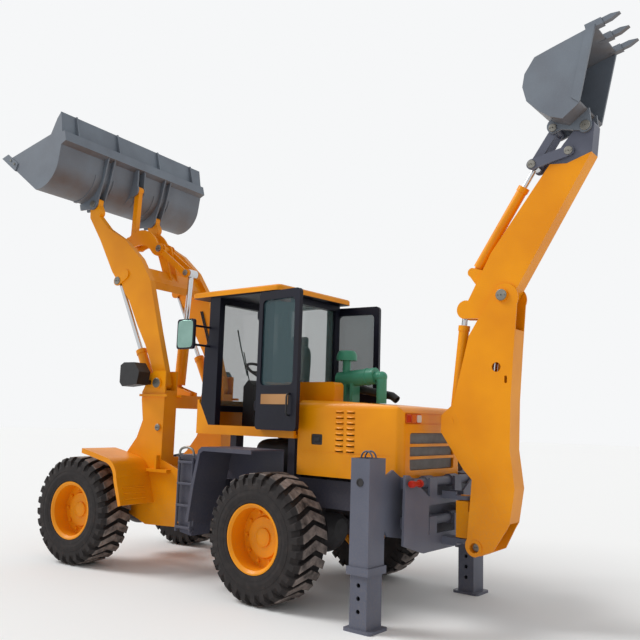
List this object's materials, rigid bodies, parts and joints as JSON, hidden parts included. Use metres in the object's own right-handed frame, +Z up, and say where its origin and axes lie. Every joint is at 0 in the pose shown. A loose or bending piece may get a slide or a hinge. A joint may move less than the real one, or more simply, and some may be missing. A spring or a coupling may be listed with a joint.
{
  "type": "backhoe loader with an articulated frame",
  "caption": "Articulated backhoe loader with raised front bucket, open cab doors, stabilizer legs and a backhoe folded up at the rear.",
  "frame": {"origin": "middle of the bounding box, on the ground", "axes": "+X forward along the rear frame, +Y left, +Z up"},
  "size_m": [6.8794, 2.3798, 4.8207],
  "materials": {
    "tyre": "matte",
    "yellow_paint": "gloss",
    "cast_grey": "cast",
    "black_paint": "satin",
    "radiator_fins": "satin",
    "lamp_lens": "gloss",
    "glass": "clear",
    "seat_vinyl": "matte",
    "black_plastic": "matte",
    "grey_paint": "satin",
    "rod_chrome": "polished"
  },
  "bodies": {
    "rear_frame": {"rear_axle": "cast_grey", "rear_chassis": "black_paint", "engine_block": "cast_grey", "hood": "yellow_paint", "radiator": "radiator_fins", "rear_lamps": "lamp_lens", "air_cleaner": "black_paint", "exhaust": "black_paint", "cab_base": "yellow_paint", "cab_frame": "black_paint", "cab_roof": "yellow_paint", "cab_glass": "glass", "seat": "seat_vinyl", "console": "black_plastic", "fenders": "black_paint", "tanks": "black_paint", "hoe_frame": "grey_paint"},
    "front_frame": {"front_chassis": "yellow_paint", "front_axle": "cast_grey", "front_fenders": "yellow_paint", "work_lamps": "black_plastic"},
    "wheel_rear_left": {"tyre_rear_left": "tyre", "rim_rear_left": "yellow_paint"},
    "wheel_rear_right": {"tyre_rear_right": "tyre", "rim_rear_right": "yellow_paint"},
    "wheel_front_left": {"tyre_front_left": "tyre", "rim_front_left": "yellow_paint"},
    "wheel_front_right": {"tyre_front_right": "tyre", "rim_front_right": "yellow_paint"},
    "loader_arms": {"loader_arms": "yellow_paint"},
    "bellcrank": {"bellcrank": "yellow_paint"},
    "bucket_link": {"bucket_link": "yellow_paint"},
    "loader_bucket": {"loader_bucket": "grey_paint"},
    "lift_barrel_left": {"lift_barrel_left": "yellow_paint"},
    "lift_rod_left": {"lift_rod_left": "rod_chrome"},
    "stabilizer_left": {"stabilizer_left": "grey_paint"},
    "door_left": {"door_left": "black_paint", "door_glass_left": "glass"},
    "lift_barrel_right": {"lift_barrel_right": "yellow_paint"},
    "lift_rod_right": {"lift_rod_right": "rod_chrome"},
    "stabilizer_right": {"stabilizer_right": "grey_paint"},
    "door_right": {"door_right": "black_paint", "door_glass_right": "glass"},
    "tilt_barrel": {"tilt_barrel": "yellow_paint"},
    "tilt_rod": {"tilt_rod": "rod_chrome"},
    "carriage": {"carriage": "grey_paint"},
    "kingpost": {"kingpost": "grey_paint"},
    "boom": {"boom": "yellow_paint"},
    "dipper": {"dipper": "yellow_paint"},
    "hoe_bucket": {"hoe_bucket": "grey_paint"},
    "rocker": {"rocker": "grey_paint"},
    "push_link": {"push_link": "grey_paint"},
    "boom_barrel": {"boom_barrel": "yellow_paint"},
    "boom_rod": {"boom_rod": "rod_chrome"},
    "dipper_barrel": {"dipper_barrel": "yellow_paint"},
    "dipper_rod": {"dipper_rod": "rod_chrome"},
    "curl_barrel": {"curl_barrel": "yellow_paint"},
    "curl_rod": {"curl_rod": "rod_chrome"}
  },
  "joints": [
    {"name": "steering", "type": "hinge", "parent": "rear_frame", "child": "front_frame", "pos_m": [0.63133, -0.19489, 0.5375], "axis": [0, 0, 1], "range_deg": [-43.5, 32.5]},
    {"name": "wheel_rear_left_spin", "type": "hinge", "parent": "rear_frame", "child": "wheel_rear_left", "pos_m": [-0.63367, 0.60511, 0.5375], "axis": [0, 1, 0], "continuous": true},
    {"name": "wheel_rear_right_spin", "type": "hinge", "parent": "rear_frame", "child": "wheel_rear_right", "pos_m": [-0.63367, -0.99489, 0.5375], "axis": [0, 1, 0], "continuous": true},
    {"name": "wheel_front_left_spin", "type": "hinge", "parent": "front_frame", "child": "wheel_front_left", "pos_m": [1.81383, 0.72267, 0.5375], "axis": [-0.0958, 0.9954, 0], "continuous": true},
    {"name": "wheel_front_right_spin", "type": "hinge", "parent": "front_frame", "child": "wheel_front_right", "pos_m": [1.96719, -0.86996, 0.5375], "axis": [-0.0958, 0.9954, 0], "continuous": true},
    {"name": "arms_lift", "type": "hinge", "parent": "front_frame", "child": "loader_arms", "pos_m": [1.19871, -0.14026, 1.855], "axis": [0.0958, -0.9954, 0], "range_deg": [-98, 1]},
    {"name": "bucket_tilt", "type": "hinge", "parent": "loader_arms", "child": "loader_bucket", "pos_m": [2.44096, -0.02064, 3.94], "axis": [-0.0958, 0.9954, 0], "range_deg": [-12, 62]},
    {"name": "bellcrank_turn", "type": "hinge", "parent": "loader_arms", "child": "bellcrank", "pos_m": [1.75115, -0.08706, 3.43], "axis": [0.0958, -0.9954, 0], "range_deg": [-6.17, 19.37]},
    {"name": "link_turn", "type": "hinge", "parent": "bellcrank", "child": "bucket_link", "pos_m": [2.26876, -0.03722, 3.54], "axis": [0.0958, -0.9954, 0], "range_deg": [-55.2, 13.1]},
    {"name": "lift_barrel_left_turn", "type": "hinge", "parent": "front_frame", "child": "lift_barrel_left", "pos_m": [1.10485, 0.31283, 1.4], "axis": [0.0958, -0.9954, 0], "range_deg": [-88.92, 3.88]},
    {"name": "lift_rod_left_slide", "type": "slide", "parent": "lift_barrel_left", "child": "lift_rod_left", "axis": [0.4465, 0.043, 0.8938], "range_m": [-0.63091, 0.01634]},
    {"name": "lift_barrel_right_turn", "type": "hinge", "parent": "front_frame", "child": "lift_barrel_right", "pos_m": [1.19303, -0.60293, 1.4], "axis": [0.0958, -0.9954, 0], "range_deg": [-88.92, 3.88]},
    {"name": "lift_rod_right_slide", "type": "slide", "parent": "lift_barrel_right", "child": "lift_rod_right", "axis": [0.4465, 0.043, 0.8938], "range_m": [-0.63091, 0.01634]},
    {"name": "tilt_barrel_turn", "type": "hinge", "parent": "front_frame", "child": "tilt_barrel", "pos_m": [1.40774, -0.12013, 1.79], "axis": [0.0958, -0.9954, 0], "range_deg": [-109.57, 4.09]},
    {"name": "tilt_rod_slide", "type": "slide", "parent": "tilt_barrel", "child": "tilt_rod", "axis": [-0.0677, -0.0065, 0.9977], "range_m": [-0.2916, 0.01287]},
    {"name": "door_left_swing", "type": "hinge", "parent": "rear_frame", "child": "door_left", "pos_m": [-0.22867, 0.37611, 1.425], "axis": [0, 0, 1], "range_deg": [-174, 0]},
    {"name": "door_right_swing", "type": "hinge", "parent": "rear_frame", "child": "door_right", "pos_m": [-0.22867, -0.76589, 1.425], "axis": [0, 0, 1], "range_deg": [0, 174]},
    {"name": "stabilizer_left_lift", "type": "slide", "parent": "rear_frame", "child": "stabilizer_left", "axis": [0, 0, 1], "range_m": [0, 0.33]},
    {"name": "stabilizer_right_lift", "type": "slide", "parent": "rear_frame", "child": "stabilizer_right", "axis": [0, 0, 1], "range_m": [0, 0.33]},
    {"name": "sideshift", "type": "slide", "parent": "rear_frame", "child": "carriage", "axis": [0, 1, 0], "range_m": [-0.2, 0.2]},
    {"name": "hoe_swing", "type": "hinge", "parent": "carriage", "child": "kingpost", "pos_m": [-2.07367, -0.19489, 0.575], "axis": [0, 0, 1], "range_deg": [-85, 85]},
    {"name": "boom_lift", "type": "hinge", "parent": "kingpost", "child": "boom", "pos_m": [-2.22367, -0.19489, 0.575], "axis": [0, -1, 0], "range_deg": [0, 115]},
    {"name": "dipper_fold", "type": "hinge", "parent": "boom", "child": "dipper", "pos_m": [-2.43367, -0.19489, 2.57], "axis": [0, -1, 0], "range_deg": [0, 110]},
    {"name": "hoe_bucket_curl", "type": "hinge", "parent": "dipper", "child": "hoe_bucket", "pos_m": [-3.12067, -0.19489, 3.84], "axis": [0, -1, 0], "range_deg": [-6, 115]},
    {"name": "rocker_turn", "type": "hinge", "parent": "dipper", "child": "rocker", "pos_m": [-2.98667, -0.19489, 3.667], "axis": [0, -1, 0], "range_deg": [-7.88, 96.47]},
    {"name": "push_link_turn", "type": "hinge", "parent": "rocker", "child": "push_link", "pos_m": [-2.68767, -0.19489, 3.613], "axis": [0, -1, 0], "range_deg": [-57.19, 5.83]},
    {"name": "boom_barrel_turn", "type": "hinge", "parent": "kingpost", "child": "boom_barrel", "pos_m": [-2.19367, -0.19489, 0.905], "axis": [0, -1, 0], "range_deg": [-3, 124.27]},
    {"name": "boom_rod_slide", "type": "slide", "parent": "boom_barrel", "child": "boom_rod", "axis": [-0.1196, 0, 0.9928], "range_m": [-0.01, 0.54444]},
    {"name": "dipper_barrel_turn", "type": "hinge", "parent": "boom", "child": "dipper_barrel", "pos_m": [-1.96867, -0.19489, 1.55], "axis": [0, -1, 0], "range_deg": [-3, 16.61]},
    {"name": "dipper_rod_slide", "type": "slide", "parent": "dipper_barrel", "child": "dipper_rod", "axis": [-0.1074, 0, 0.9942], "range_m": [-0.01, 0.56115]},
    {"name": "curl_barrel_turn", "type": "hinge", "parent": "dipper", "child": "curl_barrel", "pos_m": [-2.15367, -0.19489, 2.79], "axis": [0, -1, 0], "range_deg": [-3.06, 4.09]},
    {"name": "curl_rod_slide", "type": "slide", "parent": "curl_barrel", "child": "curl_rod", "axis": [-0.5443, 0, 0.8389], "range_m": [-0.03306, 0.45194]}
  ],
  "couplings": [
    {"joint": "bellcrank_turn", "follows": "bucket_tilt", "ratio": 0.26398},
    {"joint": "link_turn", "follows": "bucket_tilt", "ratio": -0.84199},
    {"joint": "lift_barrel_left_turn", "follows": "arms_lift", "ratio": 0.87673},
    {"joint": "lift_rod_left_slide", "follows": "arms_lift", "m_per_rad": 0.36302},
    {"joint": "lift_barrel_right_turn", "follows": "arms_lift", "ratio": 0.87673},
    {"joint": "lift_rod_right_slide", "follows": "arms_lift", "m_per_rad": 0.36302},
    {"joint": "tilt_barrel_turn", "follows": "arms_lift", "ratio": 1.0875},
    {"joint": "tilt_rod_slide", "follows": "arms_lift", "m_per_rad": 0.16464},
    {"joint": "rocker_turn", "follows": "hoe_bucket_curl", "ratio": 0.81282},
    {"joint": "push_link_turn", "follows": "hoe_bucket_curl", "ratio": -0.47122},
    {"joint": "boom_barrel_turn", "follows": "boom_lift", "ratio": 1.0545},
    {"joint": "boom_rod_slide", "follows": "boom_lift", "m_per_rad": 0.26627},
    {"joint": "dipper_barrel_turn", "follows": "dipper_fold", "ratio": 0.12371},
    {"joint": "dipper_rod_slide", "follows": "dipper_fold", "m_per_rad": 0.28708},
    {"joint": "curl_barrel_turn", "follows": "hoe_bucket_curl", "ratio": 0.00952},
    {"joint": "curl_rod_slide", "follows": "hoe_bucket_curl", "m_per_rad": 0.22019}
  ]
}
